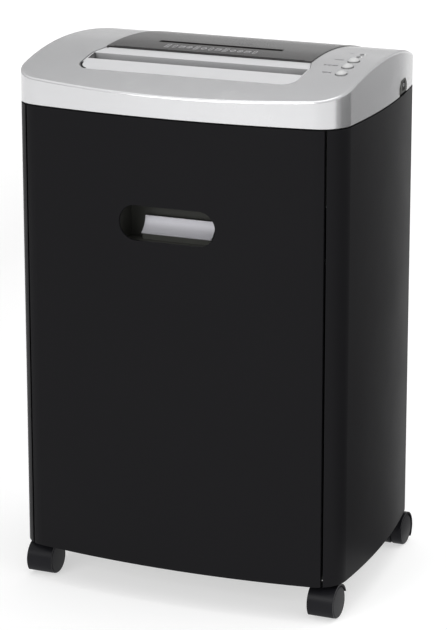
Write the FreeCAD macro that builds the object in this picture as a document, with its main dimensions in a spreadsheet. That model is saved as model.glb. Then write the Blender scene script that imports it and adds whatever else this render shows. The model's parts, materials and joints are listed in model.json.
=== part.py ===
"""Desk-side paper shredder: a bowed cabinet on four casters, a pull-out bin with a hand hole,
and a silver head that holds the throats, buttons, cutters, gears and motor.

Millimetres.  +Z is up and the front looks along -Y.  The origin is on the floor, under the
middle of the cabinet.
"""
import FreeCAD, Part
import math
import os
import re
from types import SimpleNamespace

from fcgear import fcgear, involute
from FreeCAD import Vector

DIMENSIONS = {
    # cabinet outline seen from above, and its heights
    "front_y": -134.3, "rear_y": 134.3, "half_width": 164.5, "widest_y": -73.8, "front_radius": 849.0,
    "corner_radius": 29.8, "side_radius": 897.9, "rear_corner_radius": 24.0, "cabinet_lift": 2.8,
    "panel_height": 430.5, "panel_wall": 2.2, "seam_gap": 2.2, "return_depth": 6.0, "return_gap": 0.3,
    "back_inset": 3.3,
    # head: lower edge, top surface and its crest
    "crest_y": 3.1, "cover_wall": 2.5, "cover_round": 2.4,
    # base tray and caster sockets
    "tray_thick": 4.0, "tray_inset": 2.8, "tray_rim": 12.0, "rim_wall": 2.2, "socket_radius": 9.0,
    "stem_radius": 4.0, "stem_fit": 0.05,
    # caster
    "trail": 15.0, "wheel_radius": 15.5, "wheel_inner": 1.9, "wheel_outer": 13.0, "wheel_gap": 0.7,
    "hood_wall": 1.5, "hood_bottom": 4.5, "stub_radius": 2.0, "stub_fit": 0.05, "cap_flat": 2.0,
    "boss_radius": 7.0,
    # pull-out bin
    "door_wall": 2.5, "bin_wall": 2.2, "bin_corner": 14.0, "bin_rim": 5.0, "runner_width": 8.0,
    "runner_gap": 0.4, "screw_radius": 2.0,
    # hand hole, its cup and grip plate
    "hole_half": 48.2, "hole_radius": 16.5, "cup_wall": 1.6, "grip_half": 35.5, "grip_radius": 16.2,
    "grip_thick": 1.2,
    # head housing
    "floor_thick": 3.0, "housing_inset": 8.0, "housing_wall": 2.5, "deck_thick": 2.5, "deck_inset": 2.9,
    "cover_boss_radius": 4.0,
    # paper throat insert and its slot
    "lip_corner": 14.0, "insert_drop": 0.8, "insert_thick": 2.2, "slot_half": 108.0, "chute_wall": 1.8,
    "mouth_depth": 8.0, "fit_gap": 0.4,
    # disc panel and its slot
    "disc_proud": 0.6, "disc_thick": 2.4, "disc_slot_half": 63.0,
    # buttons and lamps, set out from the middle button
    "key_pitch": 19.0, "key_drift": 1.4, "key_radius": 5.2, "key_gap": 0.5, "key_dome": 2.4,
    "key_skirt": 1.4, "key_under": 0.8, "key_travel": 1.2, "dish_radius": 20.0, "dish_depth": 1.3,
    "lamp_radius": 1.9, "lamp_near": 33.8, "lamp_far": 44.3, "board_drop": 12.0, "board_thick": 1.6,
    # power switch in the right side of the head
    "notch_slope": 6.0,
    # cutter block
    "disc_radius": 20.0, "collar_radius": 15.5, "blade_thick": 3.6, "blade_pitch": 8.0, "hex_flats": 15.0,
    "journal_radius": 6.0, "bush_fit": 0.05, "bush_radius": 9.0, "plate_thick": 4.0, "rod_radius": 4.0,
    "rod_edge": 7.5, "rod_proud": 1.5, "comb_thick": 4.0, "comb_height": 12.0,
    # gears: modules, teeth and places
    "slow_module": 2.0, "sync_teeth": 18.0, "output_teeth": 26.0, "small_teeth": 12.0, "fast_module": 1.5,
    "large_teeth": 50.0, "pinion_teeth": 10.0, "backlash": 0.15, "gear_width": 10.0, "large_width": 7.0,
    "gear_gap": 2.0,
    # motor and main board
    "motor_radius": 30.0, "motor_length": 104.0, "motor_shaft_radius": 4.0, "board_width": 80.0,
    # cord gland in the back panel
    "gland_x": -80.0, "gland_bore": 3.6,
    # safety switch that the bin presses
    "switch_x": 62.0, "switch_width": 20.0, "switch_depth": 7.0, "switch_height": 14.0,
    "plunger_radius": 2.0, "plunger_gap": 1.0,
}

size = SimpleNamespace(**DIMENSIONS)
# the cabinet
size.panel_bottom = 2 * size.wheel_radius + size.wheel_gap + size.hood_wall + size.cabinet_lift
size.panel_top = size.panel_bottom + size.panel_height
size.front_seam = size.half_width - 14.5
size.rear_seam = size.half_width - 52.5
# the head
size.head_base = size.panel_top + 1.5
size.front_top = size.head_base + 20.2
size.crest_top = size.head_base + 46.8
size.rear_top = size.head_base + 23.8
# the base tray and the caster sockets
size.tray_bottom = size.panel_bottom + 4
size.tray_front = size.front_y + 24.3
size.tray_rear = size.rear_y - size.return_depth - 0.4
size.front_caster_x = size.half_width - 17.5
size.front_caster_y = size.front_y + 51.3
size.rear_caster_x = size.half_width - 31.5
size.tray_rim_half = size.rear_caster_x - 3
size.rear_caster_y = size.rear_y - size.trail - size.wheel_radius - size.wheel_gap - size.hood_wall - 0.1
size.socket_top = size.panel_bottom + 24
# the casters
size.boss_top = size.panel_bottom - 0.5
size.stem_bottom = size.panel_bottom - 8
size.stem_top = size.socket_top - 1.5
# the head housing, which reaches down into the cabinet
size.housing_front = size.tray_front - 0.5
size.deck_bottom = size.panel_top + 0.5
size.window_right = size.half_width - 18.5
size.window_front = size.housing_front + 4.5
size.window_rear = size.rear_y - 52.3
size.front_boss_x = size.half_width - 15.5
size.front_boss_y = size.front_y + 39.3
size.rear_boss_x = size.half_width - 42.5
size.rear_boss_y = size.rear_y - 32.3
# the cutter block, from the deck down
size.shaft_z = size.deck_bottom - size.disc_radius - 17
size.shaft_spacing = size.disc_radius + size.collar_radius + 0.65
size.plate_x = size.slot_half + 4
size.blade_count = math.floor((2 * size.plate_x - 8) / size.blade_pitch)
size.blade_start = -size.plate_x + 4.2
size.plate_front = size.housing_front + 3
size.front_shaft_y = size.plate_front + size.comb_thick + size.disc_radius + 3.425
size.plate_bottom = size.shaft_z - size.disc_radius - 8
size.plate_top = size.shaft_z + size.disc_radius + 14
size.left_plate_rear = size.front_shaft_y + size.shaft_spacing + size.disc_radius + 11.925
size.right_plate_rear = size.left_plate_rear + 86
# the housing floor and its outlet, which follow the cutters
size.floor_z = size.plate_bottom - 6
size.outlet_half = size.plate_x
size.outlet_front = size.front_shaft_y - 11.925
size.outlet_rear = size.front_shaft_y + size.shaft_spacing + 11.925
size.window_left = -size.plate_x - 14
# the hand hole, its cup and grip plate, under that floor
size.hole_z = size.floor_z - size.hole_radius - 11
size.cup_half = size.hole_half + 5.8
size.cup_bottom = size.hole_z - size.hole_radius - 5
size.cup_top = size.hole_z + size.hole_radius + 6
size.cup_rear = size.front_y + 38.3
size.grip_top = size.hole_z + 0.5
size.grip_y = size.cup_rear - 7
size.grip_low = size.grip_top - 14.5
# the pull-out bin
size.bin_half = size.half_width - 28.5
size.bin_front = size.front_y + 14.8
size.bin_rear = size.rear_y - 18.3
size.bin_bottom = size.socket_top + 2
size.bin_top = size.cup_bottom - 9
size.runner_x = size.bin_half - size.runner_width - 2
size.runner_rear = size.bin_rear - 28
size.bin_screw_x = size.bin_half - 36
size.bin_screw_low = size.bin_bottom + 30
size.bin_screw_high = size.bin_top - 26
# the paper throat, over the gap between the cutters
size.lip_half = size.slot_half + 1.5
size.strip_half = size.slot_half - 4.5
size.slot_front = size.front_shaft_y + 6.575
size.lip_front = size.slot_front - 24
size.slot_rear = size.slot_front + 14.5
size.lip_rear = size.slot_rear + 17.4
size.chute_front = size.slot_front + 7.9
size.chute_rear = size.slot_rear - 0.8
size.chute_top = size.head_base + 12
size.chute_bottom = size.shaft_z + size.disc_radius + 3
# the disc panel and its slot, behind the paper throat
size.disc_front = size.lip_rear + 0.6
size.disc_rear = size.rear_y - 16.3
size.disc_front_half = size.strip_half + 0.5
size.disc_rear_half = size.disc_front_half - 5.5
size.disc_slot_front = size.disc_front + 26.4
size.disc_slot_rear = size.disc_slot_front + 7
# the buttons
size.key_x = size.half_width - 23.4
size.key_y = size.disc_front - 5
# the power switch
size.notch_front = size.rear_y - 83.3
size.notch_rear = size.notch_front + 30
size.notch_top = size.head_base + 14
# the gears
size.pair_module = (size.shaft_spacing - size.backlash) / size.sync_teeth
size.reduction_z = size.shaft_z + 11
size.motor_z = size.shaft_z + 6
# the motor and the main board
size.board_x = -size.plate_x + 2
size.board_y = size.left_plate_rear + 32
size.board_length = 2 * size.plate_x - size.motor_length - 24
size.board_z = size.floor_z + 12
# the cord gland
size.gland_z = size.floor_z + 44
size.gland_radius = size.gland_bore + 3.2
size.gland_flange = size.gland_radius + 2.8
size.cord_hole = size.gland_bore + 1.4
# the safety switch
size.switch_z = size.floor_z + 28

doc = FreeCAD.newDocument("PaperShredder")
sheet = doc.addObject("Spreadsheet::Sheet", "Sizes")
for row, (alias, amount) in enumerate(vars(size).items(), start=1):
    sheet.set(f"A{row}", alias)
    sheet.set(f"B{row}", str(round(amount, 6)))
    sheet.setAlias(f"B{row}", alias)
doc.recompute()
S = SimpleNamespace(**{alias: float(sheet.get(alias)) for alias in vars(size)})
NODES = []


# ---------------------------------------------------------------- small tools
def linked(expression):
    """The expression with each dimension's name pointed at its cell in the sheet."""
    return re.sub(r"[a-z][a-z_]+", lambda word: "Sizes." + word[0], expression)


def body(name):
    """A PartDesign body that becomes the node of that name."""
    made = doc.addObject("PartDesign::Body", name)
    made.Label = name
    NODES.append((name, made))
    return made


def origin_plane(part, role):
    return next(item for item in part.Origin.OriginFeatures if item.Role == role)


def sketch(part, role, level, geometry):
    """A sketch on one of the body's origin planes, moved along its normal to level."""
    made = part.newObject("Sketcher::SketchObject", f"{part.Name}_sketch")
    made.AttachmentSupport = [(origin_plane(part, role), "")]
    made.MapMode = "FlatFace"
    made.setExpression("AttachmentOffset.Base.z", linked(level))
    made.addGeometry(geometry, False)
    return made


def pad(part, role, level, length, geometry):
    made = part.newObject("PartDesign::Pad", f"{part.Name}_pad")
    made.Profile = sketch(part, role, level, geometry)
    made.setExpression("Length", linked(length))
    return made


def pocket(part, role, level, length, geometry, toward_normal=False):
    """A pocket that runs from the sketch against its normal, or along it."""
    made = part.newObject("PartDesign::Pocket", f"{part.Name}_pocket")
    made.Profile = sketch(part, role, level, geometry)
    made.setExpression("Length", linked(length))
    made.Reversed = toward_normal
    return made


def revolve(part, role, level, geometry, axis_name="V_Axis"):
    made = part.newObject("PartDesign::Revolution", f"{part.Name}_revolution")
    profile = sketch(part, role, level, geometry)
    made.Profile = profile
    made.ReferenceAxis = (profile, [axis_name])
    made.Angle = 360.0
    return made


def place(thing, x="0", y="0", z="0"):
    """Bind a thing's position to the sheet."""
    for axis, expression in zip("xyz", (x, y, z)):
        thing.setExpression(f"Placement.Base.{axis}", linked(expression))


def box(name, corner, size):
    made = doc.addObject("Part::Box", name)
    for key, expression in zip(("Length", "Width", "Height"), size):
        made.setExpression(key, linked(expression))
    place(made, *corner)
    return made


TURN = {"X": FreeCAD.Rotation(Vector(0, 1, 0), 90), "Y": FreeCAD.Rotation(Vector(1, 0, 0), -90),
        "Z": FreeCAD.Rotation()}


def cylinder(name, start, radius, length, axis="Z"):
    """A cylinder from start along +X, +Y or +Z."""
    made = doc.addObject("Part::Cylinder", name)
    made.setExpression("Radius", linked(radius))
    made.setExpression("Height", linked(length))
    made.Placement = FreeCAD.Placement(Vector(), TURN[axis])
    place(made, *start)
    return made


def joined(name, pieces):
    made = doc.addObject("Part::MultiFuse", name)
    made.Shapes = pieces
    return made


def cut(name, base, tools):
    made = doc.addObject("Part::Cut", name)
    made.Base = base
    made.Tool = tools[0] if len(tools) == 1 else joined(f"{name}_tools", tools)
    return made


def node(name, made):
    """Give an object that isn't a body its node name."""
    made.Label = name
    NODES.append((name, made))
    return made


def feature(name, shape):
    """A node whose shape is worked out here, where no primitive or sketch suits it."""
    made = doc.addObject("Part::Feature", name)
    made.Shape = shape
    return node(name, made)


# ---------------------------------------------------------------- outlines
def line(a, b):
    return Part.LineSegment(Vector(*a), Vector(*b))


def polygon(*corners):
    return [line(a, b) for a, b in zip(corners, corners[1:] + corners[:1])]


def rectangle(x0, y0, x1, y1):
    return polygon((x0, y0), (x1, y0), (x1, y1), (x0, y1))


def circle(x, y, radius):
    return Part.Circle(Vector(x, y), Vector(0, 0, 1), radius)


def bend(centre, radius, a, b):
    """The short arc about centre from a towards b, both given as points near the circle."""
    start, end = (math.atan2(p[1] - centre[1], p[0] - centre[0]) for p in (a, b))
    sweep = math.remainder(end - start, 2 * math.pi)
    on = [Vector(centre[0] + radius * math.cos(start + sweep * part),
                 centre[1] + radius * math.sin(start + sweep * part)) for part in (0, 0.5, 1)]
    return Part.Arc(*on)


def rounded(x0, y0, x1, y1, radius):
    """A rectangle with four round corners."""
    edges = []
    corners = [(x1 - radius, y0 + radius, -90), (x1 - radius, y1 - radius, 0),
               (x0 + radius, y1 - radius, 90), (x0 + radius, y0 + radius, 180)]
    last = None
    for x, y, start in corners + corners[:1]:
        a, m, b = (Vector(x + radius * math.cos(math.radians(start + turn)),
                          y + radius * math.sin(math.radians(start + turn))) for turn in (0, 45, 90))
        if last is not None:
            edges.append(Part.LineSegment(last, a))
        if len(edges) < 8:
            edges.append(Part.Arc(a, m, b))
        last = b
    return edges[:8]


def racetrack(x, y, half, radius):
    """A slot with round ends along X."""
    left, right = x - half + radius, x + half - radius
    return [line((left, y + radius), (right, y + radius)), line((left, y - radius), (right, y - radius)),
            Part.Arc(Vector(right, y + radius), Vector(right + radius, y), Vector(right, y - radius)),
            Part.Arc(Vector(left, y + radius), Vector(left - radius, y), Vector(left, y - radius))]


FRONT_CENTRE = (0.0, S.front_y + S.front_radius)
SIDE_CENTRE = (S.half_width - S.side_radius, S.widest_y)


def corner_centre():
    """The centre of the front corner, tangent inside both the front and the side arc."""
    reach_front = S.front_radius - S.corner_radius
    reach_side = S.side_radius - S.corner_radius
    dx, dy = SIDE_CENTRE[0] - FRONT_CENTRE[0], SIDE_CENTRE[1] - FRONT_CENTRE[1]
    apart = math.hypot(dx, dy)
    along = (apart ** 2 + reach_front ** 2 - reach_side ** 2) / (2 * apart)
    across = math.sqrt(reach_front ** 2 - along ** 2)
    ux, uy = dx / apart, dy / apart
    return (FRONT_CENTRE[0] + along * ux - across * uy, FRONT_CENTRE[1] + along * uy + across * ux)


CORNER_CENTRE = corner_centre()
REAR_CENTRE_Y = S.rear_y - S.rear_corner_radius
REAR_CENTRE = (SIDE_CENTRE[0] + math.sqrt((S.side_radius - S.rear_corner_radius) ** 2
                                          - (REAR_CENTRE_Y - SIDE_CENTRE[1]) ** 2), REAR_CENTRE_Y)


def beyond(centre, toward, reach):
    """The point at reach from centre, on the ray through toward."""
    dx, dy = toward[0] - centre[0], toward[1] - centre[1]
    size = math.hypot(dx, dy)
    return (centre[0] + dx / size * reach, centre[1] + dy / size * reach)


def outline(inset=0.0):
    """The cabinet's outline from above, moved inwards by inset."""
    front = beyond(FRONT_CENTRE, CORNER_CENTRE, S.front_radius - inset)
    side_front = beyond(SIDE_CENTRE, CORNER_CENTRE, S.side_radius - inset)
    side_rear = beyond(SIDE_CENTRE, REAR_CENTRE, S.side_radius - inset)
    rear = (REAR_CENTRE[0], S.rear_y - inset)
    edges = [bend(FRONT_CENTRE, S.front_radius - inset, (-front[0], front[1]), front)]
    for side in (1, -1):
        def turned(point):
            return (side * point[0], point[1])
        edges.append(bend(turned(CORNER_CENTRE), S.corner_radius - inset, turned(front),
                          turned(side_front)))
        edges.append(bend(turned(SIDE_CENTRE), S.side_radius - inset, turned(side_front),
                          turned(side_rear)))
        edges.append(bend(turned(REAR_CENTRE), S.rear_corner_radius - inset, turned(side_rear),
                          turned(rear)))
    edges.append(line(rear, (-rear[0], rear[1])))
    return edges


def front_face_y(x, inset=0.0):
    """Where the front face stands at x: on the bow or, further out, on the corner."""
    if abs(x) < beyond(FRONT_CENTRE, CORNER_CENTRE, S.front_radius - inset)[0]:
        return FRONT_CENTRE[1] - math.sqrt((S.front_radius - inset) ** 2 - x ** 2)
    return CORNER_CENTRE[1] - math.sqrt((S.corner_radius - inset) ** 2
                                        - (abs(x) - CORNER_CENTRE[0]) ** 2)


def side_face_x(y, inset=0.0):
    return SIDE_CENTRE[0] + math.sqrt((S.side_radius - inset) ** 2 - (y - SIDE_CENTRE[1]) ** 2)


def half_at(y, inset):
    """Half the outline's width at y: on the front bow, the front corner or the side."""
    if y > CORNER_CENTRE[1]:
        return side_face_x(y, inset)
    corner_reach = (S.corner_radius - inset) ** 2 - (y - CORNER_CENTRE[1]) ** 2
    if y > beyond(FRONT_CENTRE, CORNER_CENTRE, S.front_radius - inset)[1]:
        return CORNER_CENTRE[0] + math.sqrt(corner_reach)
    return math.sqrt((S.front_radius - inset) ** 2 - (y - FRONT_CENTRE[1]) ** 2)


def bow(y_back, half, inset):
    """The space between the bowed front, moved in by inset, and a straight line at y_back."""
    edge_y = front_face_y(half, inset)
    return [Part.Arc(Vector(-half, edge_y), Vector(0, S.front_y + inset), Vector(half, edge_y)),
            line((half, edge_y), (half, y_back)), line((half, y_back), (-half, y_back)),
            line((-half, y_back), (-half, edge_y))]


def roof_radius(edge_y, edge_z):
    """The radius of the arc that is level at the crest and passes through the edge."""
    run, drop = edge_y - S.crest_y, S.crest_top - edge_z
    return (run ** 2 + drop ** 2) / (2 * drop)


ROOF_FRONT = roof_radius(S.front_y, S.front_top)
ROOF_REAR = roof_radius(S.rear_y, S.rear_top)


def roof_z(y, lift=0.0):
    """Height of the head's top surface at y, moved out along its normal by lift."""
    radius = ROOF_FRONT if y < S.crest_y else ROOF_REAR
    return S.crest_top - radius + math.sqrt((radius + lift) ** 2 - (y - S.crest_y) ** 2)


def roof_arcs(y0, y1, lift):
    """The top surface's curve from y0 to y1, as one or two arcs in the Y-Z plane."""
    stops = [y0, S.crest_y, y1] if y0 < S.crest_y < y1 else [y0, y1]
    arcs = []
    for a, b in zip(stops, stops[1:]):
        radius = ROOF_FRONT if (a + b) / 2 < S.crest_y else ROOF_REAR
        centre_z = S.crest_top - radius
        reach = radius + lift
        middle = (a + b) / 2
        points = [Vector(y, centre_z + math.sqrt(reach ** 2 - (y - S.crest_y) ** 2))
                  for y in (a, middle, b)]
        arcs.append(Part.Arc(*points))
    return arcs


def roof_slab(y0, y1, low, high):
    """A band that follows the top surface, between two lifts from it."""
    return (roof_arcs(y0, y1, low) + roof_arcs(y0, y1, high)
            + [line((y0, roof_z(y0, low)), (y0, roof_z(y0, high))),
               line((y1, roof_z(y1, low)), (y1, roof_z(y1, high)))])


def under_roof(y0, y1, bottom, lift):
    """Everything between a level bottom and the top surface."""
    return (roof_arcs(y0, y1, lift)
            + [line((y0, roof_z(y0, lift)), (y0, bottom)), line((y0, bottom), (y1, bottom)),
               line((y1, bottom), (y1, roof_z(y1, lift)))])


# ---------------------------------------------------------------- cabinet
CASTERS = [("front_left", -1, "front"), ("front_right", 1, "front"),
           ("rear_left", -1, "rear"), ("rear_right", 1, "rear")]


def stem_spots():
    """Where the four caster stems stand, seen from above."""
    return [(side * getattr(S, f"{end}_caster_x"), getattr(S, f"{end}_caster_y"))
            for _, side, end in CASTERS]


def make_base_tray():
    """A floor plate with a low rim on three sides and a socket for each caster stem."""
    tray = body("base_tray")
    pad(tray, "XY_Plane", "tray_bottom", "tray_thick", outline(S.tray_inset))
    pad(tray, "XY_Plane", "tray_bottom + tray_thick", "tray_rim",
        outline(S.tray_inset) + outline(S.tray_inset + S.rim_wall))
    far = 2 * S.half_width
    pocket(tray, "XY_Plane", "tray_bottom + tray_thick + tray_rim", "tray_rim",
           rectangle(-far, S.front_y, far, S.front_y + S.corner_radius))
    pad(tray, "XY_Plane", "tray_bottom + tray_thick", "tray_rim",
        rectangle(-S.tray_rim_half, S.tray_rear - S.rim_wall, S.tray_rim_half, S.tray_rear))
    for y0, y1 in ((2 * S.front_y, S.tray_front), (S.tray_rear, 2 * S.rear_y)):
        pocket(tray, "XY_Plane", "socket_top", "socket_top - panel_bottom",
               rectangle(-far, y0, far, y1))
    pad(tray, "XY_Plane", "panel_bottom", "socket_top - panel_bottom",
        [circle(x, y, S.socket_radius) for x, y in stem_spots()])
    pocket(tray, "XY_Plane", "socket_top - 1", "socket_top - 1 - panel_bottom",
           [circle(x, y, S.stem_radius + S.stem_fit) for x, y in stem_spots()])


def make_side_panel(name, side):
    """One side wall, from the seam on the front corner round to the seam on the back."""
    panel = body(name)
    pad(panel, "XY_Plane", "panel_bottom", "panel_top - panel_bottom",
        outline() + outline(S.panel_wall))
    seam = S.front_seam + S.seam_gap / 2
    far = 2 * S.half_width
    waste = polygon((side * seam, -far), (-side * far, -far), (-side * far, far),
                    (side * S.rear_seam, far), (side * S.rear_seam, 0), (side * seam, 0))
    pocket(panel, "XY_Plane", "panel_top + 1", "panel_top - panel_bottom + 2", waste)
    lip = seam + S.panel_wall
    start = front_face_y(lip) + S.return_gap
    pad(panel, "XY_Plane", "panel_bottom", "panel_top - panel_bottom",
        rectangle(side * seam, start, side * lip, start + S.return_depth))
    pad(panel, "XY_Plane", "panel_bottom", "panel_top - panel_bottom",
        rectangle(side * S.rear_seam, S.rear_y - S.return_depth,
                  side * (S.rear_seam + S.panel_wall), S.rear_y - 1))


VENT_COUNT = 16
VENT_PITCH = 8.0
VENT_ROWS = (S.panel_top - 128.5, S.panel_top - 90.5)
VENT_MIDDLE = 24.0
VENT_HALF_WIDTH = 1.6
VENT_HEIGHT = 28.0


def make_back_panel():
    """The back wall, set in from the side walls, with two rows of vents and the cord hole."""
    panel = body("back_panel")
    half = S.rear_seam - S.fit_gap
    outer = S.rear_y - S.back_inset
    pad(panel, "XY_Plane", "panel_bottom", "panel_top - panel_bottom",
        rectangle(-half, outer - S.panel_wall, half, outer))
    slots = []
    for row in VENT_ROWS:
        for count in range(VENT_COUNT):
            x = (count - (VENT_COUNT - 1) / 2) * VENT_PITCH + VENT_MIDDLE
            slots += rectangle(x - VENT_HALF_WIDTH, row, x + VENT_HALF_WIDTH, row + VENT_HEIGHT)
    pocket(panel, "XZ_Plane", "-rear_y", "return_depth", slots, toward_normal=True)
    pocket(panel, "XZ_Plane", "-rear_y", "return_depth",
           [circle(S.gland_x, S.gland_z, S.gland_radius + 0.05)], toward_normal=True)


def make_cord_gland():
    """A bush for the power cord, flanged on both faces of the back panel."""
    gland = body("cord_gland")
    outer = "-rear_y + back_inset"
    ring = [circle(S.gland_x, S.gland_z, S.gland_bore)]
    pad(gland, "XZ_Plane", f"{outer} - 2.4", "2.4", ring
        + [circle(S.gland_x, S.gland_z, S.gland_flange)])
    pad(gland, "XZ_Plane", outer, "panel_wall + 0.1", ring
        + [circle(S.gland_x, S.gland_z, S.gland_radius)])
    pad(gland, "XZ_Plane", f"{outer} + panel_wall + 0.1", "1.8",
        ring + [circle(S.gland_x, S.gland_z, S.gland_flange - 0.8)])


def make_bin_runners():
    """Two rails on the tray that the bin slides on."""
    rails = [box(f"runner_{side}", (start, "tray_front", "tray_bottom + tray_thick"),
                 ("runner_width", "runner_rear - tray_front",
                  "bin_bottom - runner_gap - tray_bottom - tray_thick"))
             for side, start in (("left", "-runner_x - runner_width"), ("right", "runner_x"))]
    group = doc.addObject("Part::Compound", "runner_pair")
    group.Links = rails
    node("bin_runners", group)


# ---------------------------------------------------------------- bin
BIN_SCREWS = [(-1, "bin_screw_low"), (1, "bin_screw_low"), (-1, "bin_screw_high"),
              (1, "bin_screw_high")]


def bin_screw_spots():
    return [(side * S.bin_screw_x, getattr(S, level)) for side, level in BIN_SCREWS]


def make_bin_front():
    """The bowed front panel, with side returns, a lower ledge, screw bosses and the hand hole."""
    panel = body("bin_front_panel")
    half = S.front_seam - S.seam_gap / 2
    far = 2 * S.half_width
    pad(panel, "XY_Plane", "panel_bottom", "panel_top - panel_bottom",
        outline() + outline(S.door_wall))
    for x in (-far, half):
        pocket(panel, "XY_Plane", "panel_top + 1", "panel_top - panel_bottom + 2",
               rectangle(x, -far, x + far - half, far))
    pocket(panel, "XY_Plane", "panel_top + 1", "panel_top - panel_bottom + 2",
           rectangle(-half - 1, 0, half + 1, far))
    for side in (-1, 1):
        start = front_face_y(half) + S.return_gap
        pad(panel, "XY_Plane", "panel_bottom", "panel_top - panel_bottom",
            rectangle(side * half, start, side * (half - S.panel_wall), start + S.return_depth - 2))
    ledge = bow(S.bin_front - 1, S.front_seam - 15, 1.0)
    pad(panel, "XY_Plane", "panel_bottom", "panel_wall", ledge)
    pad(panel, "XY_Plane", "panel_top - panel_wall", "panel_wall", ledge)
    reach = S.bin_front - front_face_y(S.bin_screw_x, S.door_wall / 2)
    pad(panel, "XZ_Plane", "-bin_front", f"{reach:.3f}",
        [circle(x, z, 2.5 * S.screw_radius) for x, z in bin_screw_spots()])
    pocket(panel, "XZ_Plane", f"-bin_front + {reach - 1.5:.3f}", f"{reach:.3f}",
           [circle(x, z, S.screw_radius + 0.05) for x, z in bin_screw_spots()])
    pocket(panel, "XZ_Plane", "-front_y + 5", "return_depth + 5",
           racetrack(0, S.hole_z, S.hole_half, S.hole_radius))
    doc.recompute()
    drilled_panel = panel.Tip
    edges = [f"Edge{number}" for number, edge in enumerate(drilled_panel.Shape.Edges, start=1)
             if on_hole_mouth(edge)]
    edge_round = panel.newObject("PartDesign::Fillet", "hole_round")
    edge_round.Base = (drilled_panel, edges)
    edge_round.Radius = 0.8


def on_hole_mouth(edge):
    """True for the edges where the hand hole meets the panel's outer face."""
    middle = edge.valueAt((edge.FirstParameter + edge.LastParameter) / 2)
    near = abs(middle.x) <= S.hole_half + 0.5 and abs(middle.z - S.hole_z) <= S.hole_radius + 0.5
    return near and abs(middle.y - front_face_y(middle.x)) < 0.1


def make_waste_bin():
    """The tub, with a rim round its sides and back."""
    tub = body("waste_bin")
    pad(tub, "XY_Plane", "bin_bottom", "bin_top - bin_bottom",
        rounded(-S.bin_half, S.bin_front, S.bin_half, S.bin_rear, S.bin_corner))
    pad(tub, "XY_Plane", "bin_top - 4", "4",
        rounded(-S.bin_half - S.bin_rim, S.bin_front, S.bin_half + S.bin_rim, S.bin_rear + S.bin_rim,
                S.bin_corner))
    wall = S.bin_wall
    pocket(tub, "XY_Plane", "bin_top", "bin_top - bin_bottom - bin_wall",
           rounded(-S.bin_half + wall, S.bin_front + wall, S.bin_half - wall, S.bin_rear - wall,
                   S.bin_corner - wall))
    pocket(tub, "XZ_Plane", "-bin_front + 1", "bin_wall + 2",
           [circle(x, z, S.screw_radius + 0.2) for x, z in bin_screw_spots()])


def make_bin_screws():
    """Four screws that hold the tub to the front panel, heads inside the tub."""
    screws = []
    for number, (side, level) in enumerate(BIN_SCREWS):
        x = "bin_screw_x" if side > 0 else "-bin_screw_x"
        head = cylinder(f"bin_screw_head_{number}", (x, "bin_front + bin_wall", level),
                        "2 * screw_radius", "screw_radius", "Y")
        shank = cylinder(f"bin_screw_shank_{number}", (x, "bin_front - 4", level),
                         "screw_radius", "bin_wall + 4", "Y")
        screws.append(joined(f"bin_screw_{number}", [head, shank]))
    group = doc.addObject("Part::Compound", "bin_screw_set")
    group.Links = screws
    node("bin_screws", group)


def grip_profile(gap, thick):
    """A quarter-like curve in the Y-Z plane: upright at its top, running forward at its foot."""
    centre = (S.grip_y - S.grip_radius, S.grip_top)
    foot_y = centre[0] + math.sqrt(S.grip_radius ** 2 - (S.grip_top - S.grip_low) ** 2)
    foot, top = (foot_y, S.grip_low), (S.grip_y, S.grip_top)
    inner = bend(centre, S.grip_radius + gap, foot, top)
    if not thick:
        return inner
    outer = bend(centre, S.grip_radius + gap + thick, foot, top)
    ends = [Part.LineSegment(inner.value(u), outer.value(v)) for u, v in
            ((inner.FirstParameter, outer.FirstParameter), (inner.LastParameter, outer.LastParameter))]
    return [inner, outer] + ends


def make_handle_cup():
    """A box behind the hand hole, open to the front, with a block that backs the grip plate."""
    cup = body("handle_cup")
    pad(cup, "XY_Plane", "cup_bottom", "cup_top - cup_bottom",
        bow(S.cup_rear, S.cup_half, S.door_wall + S.fit_gap))
    wall = S.cup_wall
    pocket(cup, "XY_Plane", "cup_top - cup_wall", "cup_top - cup_bottom - 2 * cup_wall",
           rectangle(-S.cup_half + wall, 2 * S.front_y, S.cup_half - wall, S.cup_rear - wall))
    face = grip_profile(S.grip_thick + 0.05, 0)
    foot, top = face.value(face.FirstParameter), face.value(face.LastParameter)
    back = (S.cup_rear - wall / 2, S.cup_bottom + wall / 2)
    block = [face, line((top.x, top.y), (back[0], top.y)), line((back[0], top.y), back),
             line(back, (foot.x, back[1])), line((foot.x, back[1]), (foot.x, foot.y))]
    pad(cup, "YZ_Plane", "-grip_half + 1", "2 * grip_half - 2", block)


def make_grip_plate():
    plate = body("handle_grip_plate")
    pad(plate, "YZ_Plane", "-grip_half", "2 * grip_half", grip_profile(0.0, S.grip_thick))


# ---------------------------------------------------------------- head shell
def cover_boss_spots():
    return [(side * getattr(S, f"{end}_boss_x"), getattr(S, f"{end}_boss_y"))
            for end in ("front", "rear") for side in (-1, 1)]


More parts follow.
